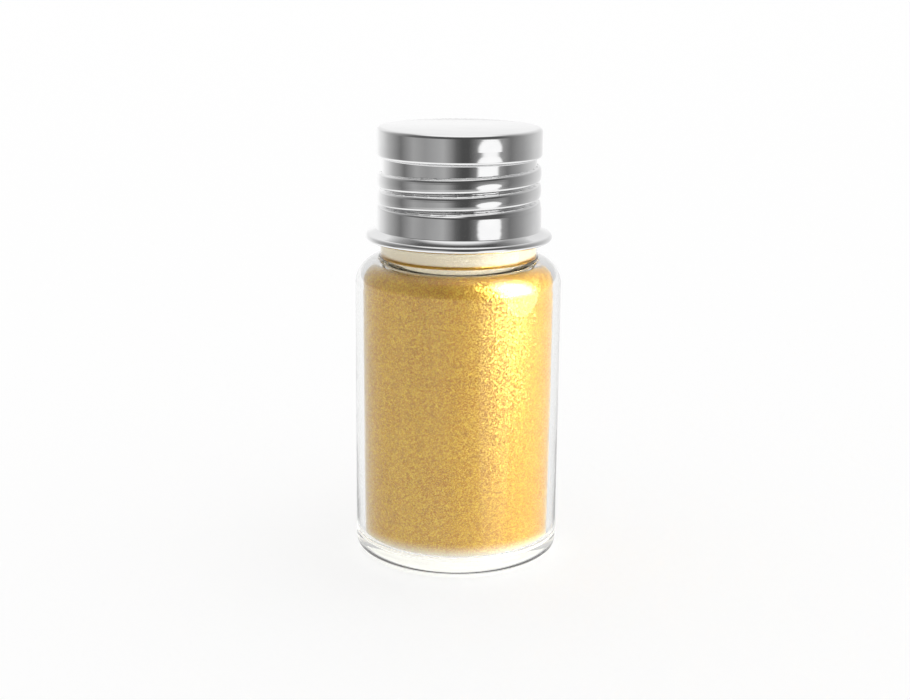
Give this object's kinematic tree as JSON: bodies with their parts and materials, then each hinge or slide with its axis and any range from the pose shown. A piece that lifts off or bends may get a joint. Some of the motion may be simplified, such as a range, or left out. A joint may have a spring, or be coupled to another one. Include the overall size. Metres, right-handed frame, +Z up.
{
  "type": "gold sample vial",
  "caption": "Short clear glass vial of fine gold dust with a flat-topped threaded aluminium screw cap and an out-turned hem, for holding and showing prospecting samples.",
  "frame": {"origin": "centre of the vial's base, at the level of the ring it stands on", "axes": "+Z up along the vial's axis towards the cap; -Y faces the viewer"},
  "size_m": [0.0226, 0.0226, 0.0477],
  "materials": {
    "clear_glass": "clear, fire-polished",
    "gold_dust": "fine sparkling metal powder",
    "cap_aluminium": "bright rolled, glossy lacquer",
    "liner_film": "smooth white polyethylene film",
    "liner_foam": "white closed-cell polyethylene foam"
  },
  "bodies": {
    "vial": {"vial_glass": "clear_glass", "gold_dust": "gold_dust"},
    "liner": {"liner_facing_film": "liner_film", "liner_foam_core": "liner_foam", "liner_backing_film": "liner_film"},
    "cap": {"cap_shell": "cap_aluminium"}
  },
  "joints": [
    {"name": "cap_lift", "type": "slide", "parent": "vial", "child": "liner", "axis": [0, 0, 1], "range_m": [0, 0.01295]},
    {"name": "cap_turn", "type": "hinge", "parent": "liner", "child": "cap", "pos_m": [0, 0, 0], "axis": [0, 0, 1], "range_deg": [0, 2520]}
  ],
  "couplings": [
    {"joint": "cap_turn", "follows": "cap_lift", "rad_per_m": 3396.3}
  ]
}
